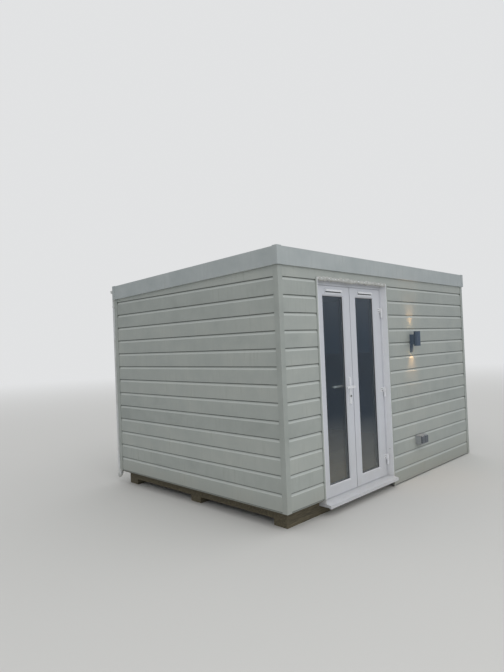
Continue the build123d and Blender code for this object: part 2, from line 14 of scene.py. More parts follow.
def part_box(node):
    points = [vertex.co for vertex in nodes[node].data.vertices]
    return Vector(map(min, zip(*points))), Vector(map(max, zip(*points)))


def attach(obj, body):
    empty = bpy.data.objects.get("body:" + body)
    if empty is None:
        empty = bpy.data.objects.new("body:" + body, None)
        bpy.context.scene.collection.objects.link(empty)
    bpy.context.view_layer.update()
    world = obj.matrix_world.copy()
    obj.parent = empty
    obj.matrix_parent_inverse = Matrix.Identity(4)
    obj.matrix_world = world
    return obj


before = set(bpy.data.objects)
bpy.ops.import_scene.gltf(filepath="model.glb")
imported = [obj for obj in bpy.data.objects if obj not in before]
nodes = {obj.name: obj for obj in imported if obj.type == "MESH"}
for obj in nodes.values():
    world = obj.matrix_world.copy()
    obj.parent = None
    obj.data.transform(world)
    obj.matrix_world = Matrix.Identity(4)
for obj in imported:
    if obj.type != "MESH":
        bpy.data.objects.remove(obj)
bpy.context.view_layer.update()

# %% [markdown]
# Every size below is written in millimetres and turned into Blender's metres once. The places come from the
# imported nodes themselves, so a piece follows the model if a size changes there.

# %% Units and places
MM = 0.001


def span(node):
    """The lowest and highest corners of a node, as two vectors in metres."""
    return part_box(node)


front_face = span("front_cladding_right")[0].y
print("front face at", round(front_face, 4))

# %% [markdown]
# The photograph was taken by a phone held at eye height, off the front left corner. The eye's place and its
# direction were worked out from the board lines, which are a known distance apart. With a 36 mm sensor on the
# long side of the picture, the focal length in pixels becomes the lens in millimetres.

# %% Camera
PICTURE_HEIGHT = 672
FOCAL_PIXELS = 508.06
SENSOR = 36.0
eye_from_corner = Vector((-3113.6, -2772.1, 1386.7)) * MM
first_board_line = 165 * MM
yaw, pitch, roll = math.radians(45.193), math.radians(0.998), math.radians(-2.345)


def aim(yaw, pitch, roll):
    """A camera's axes: yaw turns from +Y towards +X, pitch lifts the view and roll tips it clockwise."""
    forward = Vector((math.sin(yaw) * math.cos(pitch), math.cos(yaw) * math.cos(pitch), math.sin(pitch)))
    level = Vector((math.cos(yaw), -math.sin(yaw), 0))
    up = level.cross(forward)
    right = level * math.cos(roll) + up * math.sin(roll)
    above = up * math.cos(roll) - level * math.sin(roll)
    return Matrix((right, above, -forward)).transposed().to_4x4()


camera_data = bpy.data.cameras.new("portrait_lens")
camera_data.lens = FOCAL_PIXELS * SENSOR / PICTURE_HEIGHT
camera_data.sensor_width = SENSOR
camera = bpy.data.objects.new("portrait_camera", camera_data)
bpy.context.scene.collection.objects.link(camera)
corner = Vector((span("cladding_trims")[0].x, front_face, first_board_line))
camera.matrix_world = Matrix.Translation(corner + eye_from_corner) @ aim(yaw, pitch, roll)
bpy.context.scene.camera = camera
print("lens", round(camera_data.lens, 2), "mm at", [round(v, 3) for v in camera.location])

# %% [markdown]
# Three helpers serve every material. Colours are written as sRGB hex values, as a paint chart gives them,
# and one function makes them linear. `add` puts one node in a tree. Its inputs go by name or number.
# On a Map Range, 0 is the value, 1 and 2 the range that it reads and 3 and 4 the range that it gives. On a
# colour Mix, 0 is the share and 6 and 7 are the two colours. `new_material` starts an empty material.

# %% Colours and nodes
def linear(colour):
    """An sRGB hex colour as the linear values that shaders expect."""
    channels = [int(colour[i:i + 2], 16) / 255 for i in (1, 3, 5)]
    return [c / 12.92 if c <= 0.04045 else ((c + 0.055) / 1.055) ** 2.4 for c in channels] + [1.0]


def add(tree, kind, inputs=None, stops=None):
    """Add one shader node. An entry sets an input or a property, or links a source to an input.

    A source is a socket, or a node whose first output is meant. A ramp also gets its stops."""
    node = tree.nodes.new("ShaderNode" + kind)
    for key, value in (inputs or {}).items():
        if isinstance(value, (bpy.types.Node, bpy.types.NodeSocket)):
            tree.links.new(getattr(value, "outputs", [value])[0], node.inputs[key])
        elif isinstance(key, int) or key in node.inputs:
            node.inputs[key].default_value = linear(value) if isinstance(value, str) else value
        else:
            setattr(node, key, value)
    for index, (where, colour) in enumerate(stops or []):
        ramp = node.color_ramp.elements
        stop = ramp[index] if index < len(ramp) else ramp.new(where)
        stop.position = where
        stop.color = linear(colour)
    return node


def new_material(name):
    """An empty node material. Returns it with its tree and its Object coordinates."""
    material = bpy.data.materials.new(name)
    material.use_nodes = True
    material.node_tree.nodes.clear()
    here = add(material.node_tree, "TexCoord").outputs["Object"]
    return material, material.node_tree, here


print("mid grey #808080 is", round(linear("#808080")[0], 3), "in linear light")

# %% [markdown]
# A studio for a building: a pale floor without an edge in sight, a soft sky all round, and one large softbox
# in front. The sky is brightest overhead and brighter on the door side than behind, as it is outdoors in a
# sheltered corner. Its bright part lights the scooped top of each board. Its foot is dimmer in mirrors than
# it is as light, because outdoors the foot of a view is dark while light still gets in between what stands
# there. The camera sees an even pale backdrop in its place.

# %% Sky
BACKDROP, BACKDROP_GLOW = "#F1F2F3", 0.86
FOOT_AS_LIGHT, FOOT_IN_MIRRORS, OVERHEAD = 0.7, 0.34, 1.3
BEHIND, IN_FRONT = 0.62, 1.05
to_the_front = (0.3, -0.95, 0.0)

bpy.context.scene.view_settings.view_transform = "Standard"
sky = bpy.data.worlds.new("studio_sky")
sky.use_nodes = True
tree = sky.node_tree
tree.nodes.clear()
direction = add(tree, "TexCoord").outputs["Generated"]
upward = add(tree, "SeparateXYZ", {0: direction}).outputs["Z"]
ray = add(tree, "LightPath").outputs
foot = add(tree, "MapRange", {0: ray["Is Glossy Ray"], 3: FOOT_AS_LIGHT, 4: FOOT_IN_MIRRORS})
height = add(tree, "MapRange", {0: upward, 1: 0.0, 2: 0.9, 3: foot, 4: OVERHEAD})
ahead = add(tree, "VectorMath", {"operation": "DOT_PRODUCT", 0: direction, 1: to_the_front})
side = add(tree, "MapRange", {0: ahead.outputs["Value"], 1: -1.0, 2: 1.0, 3: BEHIND, 4: IN_FRONT})
glow = add(tree, "Math", {"operation": "MULTIPLY", 0: height, 1: side})
tint = add(tree, "ValToRGB", {0: upward}, stops=[(0.0, "#B4C9E6"), (0.3, "#F4F5F7")])
dome = add(tree, "Background", {"Color": tint, "Strength": glow})
backdrop = add(tree, "Background", {"Color": BACKDROP, "Strength": BACKDROP_GLOW})
mix = add(tree, "MixShader", {0: ray["Is Camera Ray"], 1: dome, 2: backdrop})
add(tree, "OutputWorld", {"Surface": mix})
bpy.context.scene.world = sky
print("sky glows", OVERHEAD, "overhead and", FOOT_AS_LIGHT, "at its foot")

# %% [markdown]
# The softbox stands in front and to the left at more than head height. It gives the boards a soft direction,
# so that every lap has a shade below it, and the fascia a shallow shadow on the boards.

# %% Softbox
softbox_place, softbox_target = Vector((-3.2, -6.2, 4.2)), Vector((-1.2, 0, 1.3))
softbox_data = bpy.data.lights.new("softbox_front", "AREA")
softbox_data.size = 3.5
softbox_data.energy = 40
softbox = bpy.data.objects.new("softbox_front", softbox_data)
bpy.context.scene.collection.objects.link(softbox)
softbox.location = softbox_place
softbox.rotation_euler = (softbox_target - softbox_place).to_track_quat("-Z", "Y").to_euler()
print("softbox of", softbox_data.size, "m and", softbox_data.energy, "W")

# %% [markdown]
# The floor is a wide disc of pale paint. Glass would mirror it as one flat bright field with a hard edge at
# the horizon, where the ground outdoors soon ends at something darker. So in mirrors alone the floor fades
# with distance to the dim blue of the sky's foot, which takes the edge away, and it throws back no more light
# than outdoor ground does. For the camera it fades into the backdrop instead, as the sweep of a studio does.

# %% Floor
floor_radius = 60
mirror_near, mirror_far = 1.0, 6.0
sweep_near, sweep_far = 5.0, 26.0

bpy.ops.object.select_all(action="DESELECT")
bpy.ops.mesh.primitive_circle_add(vertices=96, radius=floor_radius, fill_type="NGON", location=(0, 0, 0))
floor = bpy.context.object
floor.name = "studio_floor"
floor_paint, tree, here = new_material("studio_floor_paint")
distance = add(tree, "VectorMath", {"operation": "LENGTH", 0: here}).outputs["Value"]
far = add(tree, "MapRange", {0: distance, 1: mirror_near, 2: mirror_far})
ray = add(tree, "LightPath").outputs
fade = add(tree, "Math", {"operation": "MULTIPLY", 0: far, 1: ray["Is Glossy Ray"]})
paint = add(tree, "Mix", {"data_type": "RGBA", 0: fade, 6: "#D2D1CD", 7: "#56667A"})
bounced = add(tree, "Mix",
              {"data_type": "RGBA", 0: ray["Is Diffuse Ray"], 6: paint.outputs[2], 7: "#C6C3BC"})
shader = add(tree, "BsdfPrincipled", {"Roughness": 0.8, "Base Color": bounced.outputs[2]})
sweep = add(tree, "MapRange",
            {"interpolation_type": "SMOOTHSTEP", 0: distance, 1: sweep_near, 2: sweep_far})
seen = add(tree, "Math", {"operation": "MULTIPLY", 0: sweep, 1: ray["Is Camera Ray"]})
haze = add(tree, "Emission", {"Color": BACKDROP, "Strength": BACKDROP_GLOW})
floor_mix = add(tree, "MixShader", {0: seen, 1: shader, 2: haze})
add(tree, "OutputMaterial", {"Surface": floor_mix})
floor.data.materials.append(floor_paint)
print("floor", 2 * floor_radius, "m across")

# %% [markdown]
# Finishes come next. Each one starts from what the real surface is and how it was made. Patterns read Object
# coordinates, which are true sizes here because every piece keeps its place in its mesh, and `per_mm` turns
# the size of a real feature into the noise scale that draws it. `surface` closes a material with one shader:
# values that are the same all over go on its sockets, and patterns are linked to it.

# %% Material helpers
def surface(tree, inputs):
    """Close a material with its shader and output."""
    shader = add(tree, "BsdfPrincipled", inputs)
    add(tree, "OutputMaterial", {"Surface": shader})


def per_mm(size):
    """The noise scale whose features are about this many millimetres across."""
    return 1000.0 / size


def dress(material, *names):
    """Give nodes or pieces one material all over."""
    for name in names:
        piece = nodes.get(name) or bpy.data.objects[name]
        piece.data.materials.clear()
        piece.data.materials.append(material)
    print(material.name, "on", ", ".join(names))


# %% [markdown]
# The boards are foamed PVC planks: a closed skin over a light core, moulded with a soft wood grain and
# coloured sage right through. The skin is satin and even, so what the eye reads is small, and the first of it
# is that one board is a touch lighter than the next. A board is told from its neighbour by its height, since
# every lap is one cover above the last. The boards run along X on two walls and along Y on the other two, so
# the sum of both is the distance along a board on all four.

# %% Board rows
board_cover = 150 * MM


def board_rows(tree, here):
    """A point's coordinates, its distance along the board, its height in boards and its board's number."""
    xyz = add(tree, "SeparateXYZ", {0: here}).outputs
    along = add(tree, "Math", {"operation": "ADD", 0: xyz["X"], 1: xyz["Y"]})
    above = add(tree, "Math", {"operation": "SUBTRACT", 0: xyz["Z"], 1: first_board_line})
    board = add(tree, "Math", {"operation": "DIVIDE", 0: above, 1: board_cover})
    row = add(tree, "Math", {"operation": "FLOOR", 0: board})
    return xyz, along, board, row


print("one board covers", round(board_cover / MM), "mm")

# %% [markdown]
# Four things are mixed over the colour, each over the last: rain marks that run down from the laps, a little
# soil splashed up near the ground, a painted highlight that makes faces paler where they look up, such as
# each scooped edge, and above it a dark line under each lap, which is painted shade with some grime.

# %% Weathering and painted light
splash_height = 330 * MM


def weathered_and_lit(tree, colour, film, xyz, along, board, lap_shade_and_grime):
    """A colour with its weather and painted light on it. lap_shade_and_grime is how far the painted shade and
    grime under each lap covers.
    """
    flat = add(tree, "CombineXYZ", {"Y": 0.0, "X": along, "Z": xyz["Z"]})
    falling = add(tree, "VectorMath", {"operation": "MULTIPLY", 0: flat, 1: (1, 1, 0.1)})
    runs = add(tree, "TexNoise", {"Scale": per_mm(26), "Detail": 4, "Vector": falling})
    streak = add(tree, "MapRange", {0: runs, 1: 0.54, 2: 0.8, 4: 0.5})
    patchy = add(tree, "MapRange", {0: film, 1: 0.42, 2: 0.7})
    rain = add(tree, "Math", {"operation": "MULTIPLY", 0: streak, 1: patchy})
    low = add(tree, "MapRange", {0: xyz["Z"], 1: splash_height, 2: 0.0, 4: 0.7})
    splash = add(tree, "Math", {"operation": "MULTIPLY", 0: low, 1: film})
    # Painted highlight: faces that look up, such as each scooped edge, are mixed towards a paler sage, as the
    # light from above falls on them
    facing = add(tree, "NewGeometry").outputs["True Normal"]
    tilt = add(tree, "SeparateXYZ", {0: facing}).outputs["Z"]
    top_highlight = add(tree, "MapRange", {0: tilt, 1: 0.05, 2: 0.3, 4: 0.5})
    # No rain reaches under the lap itself. Its last centimetre is darkened: painted shade of the lap, with
    # some grime
    within = add(tree, "Math", {"operation": "FRACT", 0: board})
    under = add(tree, "MapRange", {0: within, 1: 0.92, 2: 0.96, 4: lap_shade_and_grime})
    for share, shade in ((rain, "#868B7F"), (splash, "#8E8877"), (top_highlight, "#CDD2CD"), (under, "#575A55")):
        mixed = add(tree, "Mix", {"data_type": "RGBA", 0: share, 6: colour, 7: shade})
        colour = mixed.outputs[2]
    return colour


print("soil splashes up to", round(splash_height / MM), "mm")

# %% [markdown]
# The material itself joins them. Boards have the moulded grain, lines about 5 mm apart and a fifth of a metre
# long that differ from board to board. Trims and fascias are the same plastic, smooth, with only a slow swell
# in their faces. The fascias are a little newer and paler.

# %% Sage foamed PVC
SAGE_BOARD = ("#A1A6A0", "#ABB0AA", "#B3B7B0")
SAGE_FASCIA = ("#ABB2B1", "#B5BBBA", "#BDC2C0")
# The first value is the strength of the dark line under each lap: painted shade, with some grime
LAP_SHADE_AND_GRIME, BOARD_SPREAD = 0.75, 0.3


def sage_pvc(name, tones, embossed):
    """Foamed PVC in three tones from deep to pale. Boards carry a moulded grain, trims are smooth."""
    material, tree, here = new_material(name)
    xyz, along, board, row = board_rows(tree, here)
    tone = add(tree, "TexWhiteNoise", {"noise_dimensions": "1D", "W": row})
    film = add(tree, "TexNoise", {"Scale": per_mm(240), "Detail": 5, "Roughness": 0.6, "Vector": here})
    weight = add(tree, "Math",
                 {"operation": "MULTIPLY_ADD", 0: tone, 1: BOARD_SPREAD if embossed else 0.0, 2: film})
    colour = add(tree, "ValToRGB", {0: weight}, stops=[(0.3, tones[0]), (0.6, tones[1]), (0.95, tones[2])])
    outdoors = weathered_and_lit(tree, colour.outputs[0], film, xyz, along, board, LAP_SHADE_AND_GRIME if embossed else 0.0)
    gloss = add(tree, "MapRange", {0: film, 1: 0.3, 2: 0.7, 3: 0.42, 4: 0.56})
    if embossed:
        long_way = add(tree, "Math", {"operation": "MULTIPLY", 0: along, 1: 0.025})
        drawn = add(tree, "CombineXYZ", {"X": long_way, "Y": row, "Z": xyz["Z"]})
        relief = add(tree, "TexNoise",
                     {"Scale": per_mm(5), "Detail": 4, "Distortion": 0.5, "Vector": drawn})
    else:
        relief = add(tree, "TexNoise", {"Scale": per_mm(70), "Detail": 2, "Vector": here})
    bump = add(tree, "Bump", {"Strength": 0.5, "Distance": 0.3 * MM, "Height": relief})
    surface(tree, {"IOR": 1.53, "Base Color": outdoors, "Roughness": gloss, "Normal": bump})
    return material


sage_boards = sage_pvc("foamed_pvc_boards_sage", SAGE_BOARD, embossed=True)
sage_trims = sage_pvc("foamed_pvc_trims_sage", SAGE_BOARD, embossed=False)
sage_fascias = sage_pvc("foamed_pvc_fascias_sage", SAGE_FASCIA, embossed=False)
dress(sage_boards, "front_cladding_left", "front_cladding_right", "front_cladding_head", "left_cladding",
      "right_cladding", "rear_cladding")
dress(sage_trims, "cladding_trims")
dress(sage_fascias, "front_fascia", "rear_fascia", "side_fascias", "fascia_corner_caps")

# %% [markdown]
# The doors and their frame are extruded rigid PVC: white all through, smoother than the boards and very even.
# Its faces ripple a little between the dies' cooling jaws, and dust from the ground greys the foot of it. The
# linings and the vents are newer pieces in a purer white.

# %% White rigid PVC
def white_pvc(name, white):
    """Extruded rigid PVC, dusty at the foot."""
    material, tree, here = new_material(name)
    haze = add(tree, "TexNoise", {"Scale": per_mm(220), "Detail": 4, "Roughness": 0.6, "Vector": here})
    height = add(tree, "SeparateXYZ", {0: here}).outputs["Z"]
    low = add(tree, "MapRange", {0: height, 1: 0.7, 2: 0.1, 3: 0.05, 4: 0.6})
    dust = add(tree, "Math", {"operation": "MULTIPLY", 0: low, 1: haze})
    colour = add(tree, "Mix", {"data_type": "RGBA", 0: dust, 6: white, 7: "#B5B1A7"})
    gloss = add(tree, "MapRange", {0: haze, 1: 0.3, 2: 0.7, 3: 0.32, 4: 0.44})
    ripple = add(tree, "TexNoise", {"Scale": per_mm(120), "Detail": 0, "Vector": here})
    bump = add(tree, "Bump", {"Strength": 0.12, "Distance": 0.2 * MM, "Height": ripple})
    surface(tree, {"IOR": 1.53, "Base Color": colour.outputs[2], "Roughness": gloss, "Normal": bump})
    return material


rigid_pvc = white_pvc("rigid_pvc_white", "#D6D8DD")
newer_pvc = white_pvc("rigid_pvc_newer_white", "#F1F2F4")
dress(rigid_pvc, "door_jambs", "door_frame_head", "door_threshold", "door_sill", "left_leaf_frame",
      "right_leaf_frame")
dress(newer_pvc, "door_linings", "left_leaf_vent", "right_leaf_vent")

# %% [markdown]
# Most other finishes are alike in kind: two tones in patches of some real size, which may also be duller in
# the one tone than in the other, over a finer relief from the mould, the saw or the roller. So they share one
# function, and each is told apart by its numbers. A direction that is squashed draws its marks long that way.

# %% Two toned finishes
def mottled(name, size, tones, settings, detail=3, rough=0.5, twist=0.0, squash=None, gloss=None,
            relief=None):
    """A material in two tones, mixed by one noise. All sizes are in millimetres.

    tones are a ramp's stops, gloss is the roughness at the noise's low and high end, and relief is a finer
    noise, given as its size, its detail, its strength and its height."""
    material, tree, here = new_material(name)
    place = here
    if squash:
        place = add(tree, "VectorMath", {"operation": "MULTIPLY", 0: here, 1: squash})
    marks = add(tree, "TexNoise", {"Scale": per_mm(size), "Detail": detail, "Roughness": rough,
                                   "Distortion": twist, "Vector": place})
    inputs = {**settings, "Base Color": add(tree, "ValToRGB", {0: marks}, stops=tones)}
    if gloss:
        inputs["Roughness"] = add(tree, "MapRange", {0: marks, 1: 0.3, 2: 0.7, 3: gloss[0], 4: gloss[1]})
    if relief:
        grain, fineness, strength, rise = relief
        finer = add(tree, "TexNoise", {"Scale": per_mm(grain), "Detail": fineness, "Vector": here})
        inputs["Normal"] = add(tree, "Bump", {"Strength": strength, "Distance": rise * MM, "Height": finer})
    surface(tree, inputs)
    return material


print("a pattern of 30 mm has scale", round(per_mm(30), 1))

# %% [markdown]
# Hinges and handle are cast zinc under a white powder coat. Baked powder has an orange peel of a few tenths
# of a millimetre. It is drawn here at two millimetres, the finest that shows.

# %% White powder coat
powder_coat = mottled("powder_coated_zinc_white", 30, [(0.5, "#EDEEF0"), (0.8, "#C9C8C4")],
                      {"IOR": 1.5, "Roughness": 0.3}, detail=4, rough=0.7, relief=(2, 1, 0.5, 0.05))
dress(powder_coat, "frame_hinges", "left_leaf_hinges", "right_leaf_hinges", "handle_plates", "door_levers")

# %% [markdown]
# Each door holds two sheets of clear float glass. The iron in float gives a faint green, and dried rain shows
# only as a slight change in gloss. A ray that looks for a light can't bend its way through a solid sheet, and
# the room behind would stay black. So for those rays alone the sheet is a plain see-through film that takes
# its few per cent, and daylight falls on the inner handle and the floor behind the doors as it should.

# %% Float glass
float_glass, tree, here = new_material("float_glass")
falling = add(tree, "VectorMath", {"operation": "MULTIPLY", 0: here, 1: (1, 1, 0.25)})
marks = add(tree, "TexNoise", {"Scale": per_mm(90), "Detail": 5, "Roughness": 0.7, "Vector": falling})
gloss = add(tree, "MapRange", {0: marks, 1: 0.5, 2: 0.8, 3: 0.0, 4: 0.04})
sheet = add(tree, "BsdfPrincipled",
            {"IOR": 1.52, "Transmission Weight": 1.0, "Base Color": "#F8FBFA", "Roughness": gloss})
film = add(tree, "BsdfTransparent", {"Color": "#F2F6F5"})
ray = add(tree, "LightPath")
both = add(tree, "MixShader", {0: ray.outputs["Is Shadow Ray"], 1: sheet, 2: film})
add(tree, "OutputMaterial", {"Surface": both})
dress(float_glass, "left_leaf_glass", "right_leaf_glass")

# %% [markdown]
# Bearers and floor frame are sawn softwood, pressure treated and weathered to a dull grey brown. The saw
# leaves a rough face, and the grain runs the length of each timber.

# %% Treated softwood
treated = mottled("treated_softwood_sawn", 14, [(0.35, "#6F6650"), (0.65, "#4C4739")],
                  {"IOR": 1.5, "Roughness": 0.8}, detail=5, twist=1.2, squash=(0.08, 1, 1),
                  relief=(4, 3, 0.6, 0.8))
dress(treated, "base_bearers", "floor_frame")

# %% [markdown]
# Indoors the floor is a printed oak laminate in planks of 1.2 m. The print is on top only. The edge of the
# deck, which shows as a thin line under the boards, is raw chipboard gone dull.

# %% Laminate floor
laminate, tree, here = new_material("oak_laminate_printed")
planks = add(tree, "TexBrick", {"Scale": 1.0, "Mortar Size": 0.0015, "Brick Width": 1.2, "Row Height": 0.19,
                                "Color1": "#A98B62", "Color2": "#B99B70", "Mortar": "#4A3A26",
                                "Vector": here})
drawn = add(tree, "VectorMath", {"operation": "MULTIPLY", 0: here, 1: (0.06, 1, 1)})
grain = add(tree, "TexNoise", {"Scale": per_mm(9), "Detail": 6, "Distortion": 1.0, "Vector": drawn})
weight = add(tree, "MapRange", {0: grain, 1: 0.4, 2: 0.7, 4: 0.6})
colour = add(tree, "Mix", {"data_type": "RGBA", 0: weight, 6: planks, 7: "#86683F"})
bump = add(tree, "Bump",
           {"Strength": 0.6, "Distance": 0.3 * MM, "invert": True, "Height": planks.outputs["Fac"]})
facing = add(tree, "NewGeometry").outputs["True Normal"]
upward = add(tree, "SeparateXYZ", {0: facing}).outputs["Z"]
on_top = add(tree, "MapRange", {0: upward, 1: 0.5, 2: 0.9})
edged = add(tree, "Mix", {"data_type": "RGBA", 0: on_top, 6: "#5A5342", 7: colour.outputs[2]})
surface(tree, {"IOR": 1.5, "Roughness": 0.4, "Base Color": edged.outputs[2], "Normal": bump})
dress(laminate, "floor_deck")

# %% [markdown]
# Walls and ceiling are panels with matt emulsion rolled on, which leaves a low stipple of about four
# millimetres.

# %% Wall paint
emulsion = mottled("matt_emulsion_rolled", 500, [(0.3, "#C9C8C3"), (0.7, "#BEBDB7")],
                   {"IOR": 1.5, "Roughness": 0.75}, relief=(4, 2, 0.5, 0.15))
dress(emulsion, "front_wall_left", "front_wall_right", "front_wall_head", "left_wall", "right_wall",
      "rear_wall", "roof_panel")

# %% [markdown]
# The roof is calendered EPDM rubber, glued down. It is matt black, greyed by dust and palest where rain dries
# in the shallow places. The lapped seams are the same rubber and hold a little more dust.

# %% Roof rubber
def epdm_rubber(name, black, dusty):
    """Rubber sheet with a fine speckle of dust and a few pale dried pools."""
    material, tree, here = new_material(name)
    pools = add(tree, "TexNoise", {"Scale": per_mm(650), "Detail": 3, "Roughness": 0.4, "Vector": here})
    speckle = add(tree, "TexNoise", {"Scale": per_mm(22), "Detail": 5, "Roughness": 0.7, "Vector": here})
    weight = add(tree, "Math", {"operation": "MULTIPLY_ADD", 0: speckle, 1: 0.5, 2: pools})
    colour = add(tree, "ValToRGB", {0: weight}, stops=[(0.5, black), (1.0, dusty)])
    gloss = add(tree, "MapRange", {0: weight, 1: 0.5, 2: 1.0, 3: 0.55, 4: 0.8})
    slack = add(tree, "TexNoise", {"Scale": per_mm(60), "Detail": 2, "Vector": here})
    bump = add(tree, "Bump", {"Strength": 0.5, "Distance": 0.6 * MM, "Height": slack})
    surface(tree, {"IOR": 1.5, "Base Color": colour, "Roughness": gloss, "Normal": bump})
    return material


epdm = epdm_rubber("epdm_rubber_sheet", "#26272A", "#55565A")
epdm_seam = epdm_rubber("epdm_rubber_seam", "#3C3D40", "#6A6B6D")
dress(epdm, "roof_membrane")

# %% [markdown]
# Gutter and downpipe are thin extruded PVC, white, with the grey green film that a gutter collects. It runs
# down, so its marks are long that way.

# %% Gutter plastic
gutter_pvc = mottled("extruded_pvc_gutter", 60, [(0.45, "#DADCDB"), (0.85, "#A5A393")], {"IOR": 1.53},
                     detail=5, rough=0.65, squash=(1, 1, 0.2), gloss=(0.28, 0.5))
dress(gutter_pvc, "rear_gutter", "downpipe", "rainwater_brackets")

# %% [markdown]
# The wall lamp is die cast aluminium in a dark blue grey paint. Its two lenses are frosted, and a warm bulb
# behind them lights the wall above and below. The glow is in the lens material, and two narrow spot lights
# stand in for the beams, just outside the lenses and close to the wall, so that they draw tall streaks.

# %% Lamp
lamp_paint = mottled("die_cast_aluminium_painted", 6, [(0.3, "#4A5869"), (0.7, "#5A6878")], {"IOR": 1.5},
                     gloss=(0.38, 0.5), relief=(1.5, 1, 0.6, 0.05))
lens_glow = mottled("frosted_lens_lit", 5, [(0.3, "#FFF3DC"), (0.7, "#F4E2BE")],
                    {"IOR": 1.5, "Roughness": 0.35, "Emission Color": "#FFD9A0", "Emission Strength": 8.0},
                    detail=2)
dress(lamp_paint, "wall_lamp_body")
dress(lens_glow, "wall_lamp_lenses")

lens_low, lens_high = span("wall_lamp_lenses")
lens_clear, off_wall = 12 * MM, 50 * MM
beam_x = ((lens_low + lens_high) / 2).x
for title, beam_z, turn, watts in (("up", lens_high.z + lens_clear, math.pi, 3.4),
                                   ("down", lens_low.z - lens_clear, 0.0, 3.7)):
    beam_data = bpy.data.lights.new("lamp_beam_" + title, "SPOT")
    beam_data.energy = watts
    beam_data.color = linear("#FFC07E")[:3]
    beam_data.spot_size = math.radians(70)
    beam_data.spot_blend = 1.0
    beam_data.shadow_soft_size = 10 * MM
    beam = bpy.data.objects.new("lamp_beam_" + title, beam_data)
    bpy.context.scene.collection.objects.link(beam)
    beam.location = (beam_x, front_face - off_wall, beam_z)
    beam.rotation_euler = (turn, 0.0, 0.0)
    print("beam", title, "of", watts, "W at", [round(v, 3) for v in beam.location])

# %% [markdown]
# The socket's back box is moulded polycarbonate in a mid grey, finely textured by its mould. Its lids are the
# same plastic, smoked and polished, so that they glint.

# %% Socket
socket_grey = mottled("moulded_polycarbonate_grey", 25, [(0.4, "#A2A5A7"), (0.7, "#989B9D")], {"IOR": 1.58},
                      detail=4, gloss=(0.35, 0.5), relief=(1.2, 1, 0.6, 0.06))
smoked = mottled("moulded_polycarbonate_smoked", 18, [(0.35, "#5A5F64"), (0.65, "#63686D")],
                 {"IOR": 1.58, "Roughness": 0.15})
dress(socket_grey, "socket_box")
dress(smoked, "socket_lids")

# %% [markdown]
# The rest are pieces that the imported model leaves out. Each starts as a primitive at its size and place and
# is shaped in edit mode. Operators act on what is selected, so `pick` selects objects and `select_facing`
# faces, by the way that they look. `step_in` insets a face in steps, each given as how far in it goes and how
# far out. `finish_piece` puts a piece at the origin with its place in its mesh, merges doubles, turns faces
# outwards, and hangs it on the body that carries it.

# %% Modelling helpers
LEFT, RIGHT, FRONT = Vector((-1, 0, 0)), Vector((1, 0, 0)), Vector((0, -1, 0))
REAR, DOWN, UP = Vector((0, 1, 0)), Vector((0, 0, -1)), Vector((0, 0, 1))
# A face looks some way when the cosine of the angle between the two is above this
nearly_along = 0.9


def start_block(name, low, high):
    """A box between two corners, alone in the selection, with its place in its mesh."""
    low, high = Vector(low), Vector(high)
    bpy.ops.object.select_all(action="DESELECT")
    bpy.ops.mesh.primitive_cube_add(size=1, location=(low + high) / 2, scale=high - low)
    bpy.ops.object.transform_apply(location=True, rotation=True, scale=True)
    piece = bpy.context.object
    piece.name = name
    return piece


def select_facing(piece, *ways):
    """Open a piece in edit mode with only those faces selected that look one of these ways."""
    bpy.ops.object.mode_set(mode="EDIT")
    shape = bmesh.from_edit_mesh(piece.data)
    bpy.ops.mesh.select_mode(type="FACE")
    for face in shape.faces:
        face.select_set(any(face.normal.dot(way) > nearly_along for way in ways))
    bmesh.update_edit_mesh(piece.data)


def step_in(piece, way, steps):
    """Inset the face that looks this way, once for each step."""
    select_facing(piece, way)
    for inward, outward in steps:
        bpy.ops.mesh.inset(thickness=inward, depth=outward)


def shape_by(piece, kind, **settings):
    """Add a modifier to the active piece, set it and apply it."""
    bpy.ops.object.mode_set(mode="OBJECT")
    modifier = piece.modifiers.new(kind.lower(), kind)
    for key, value in settings.items():
        setattr(modifier, key, value)
    bpy.ops.object.modifier_apply(modifier=modifier.name)


def pick(*pieces):
    """Select these pieces alone, in object mode, and make the first of them active."""
    bpy.ops.object.mode_set(mode="OBJECT")
    bpy.ops.object.select_all(action="DESELECT")
    for piece in pieces:
        piece.select_set(True)
    bpy.context.view_layer.objects.active = pieces[0]


def finish_piece(piece, body, material):
    """Clean the mesh, give it its finish and hang it on its body."""
    pick(piece)
    bpy.ops.object.transform_apply(location=True, rotation=True, scale=True)
    bpy.ops.object.mode_set(mode="EDIT")
    bpy.ops.mesh.select_all(action="SELECT")
    bpy.ops.mesh.remove_doubles(threshold=0.01 * MM)
    bpy.ops.mesh.normals_make_consistent(inside=False)
    bpy.ops.object.mode_set(mode="OBJECT")
    dress(material, piece.name)
    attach(piece, body)
    print(piece.name, "rides on", body, "with", len(piece.data.polygons), "faces")


# %% [markdown]
# Over the doors the fitter closed the gap under the boards with expanding foam and left it untrimmed. It has
# swollen out over the lower edge of the boards in lobes as wide as a thumb, and its skin is still pale. The
# cells under the skin, about three millimetres across, give it a fine pitted relief.

# %% Foam
foam, tree, here = new_material("expanding_foam_cured")
stain = add(tree, "TexNoise", {"Scale": per_mm(45), "Detail": 5, "Roughness": 0.65, "Vector": here})
colour = add(tree, "ValToRGB", {0: stain}, stops=[(0.35, "#C6C7C3"), (0.7, "#AEAFA9")])
cells = add(tree, "TexVoronoi", {"Scale": per_mm(3), "Vector": here})
bump = add(tree, "Bump", {"Strength": 0.6, "Distance": 0.6 * MM, "Height": cells})
surface(tree, {"IOR": 1.5, "Roughness": 0.75, "Base Color": colour, "Normal": bump})
print(foam.name, "has", len(tree.nodes), "nodes")

# %% [markdown]
# One block is remeshed into a fine skin, two displacements push that skin in and out, first in lobes and then
# in small bubbles, and a smooth pass rounds it as the foam's own skin does. At last the bead is resized and
# moved to its limits, so that it stays clear of the doors, which swing out below it.

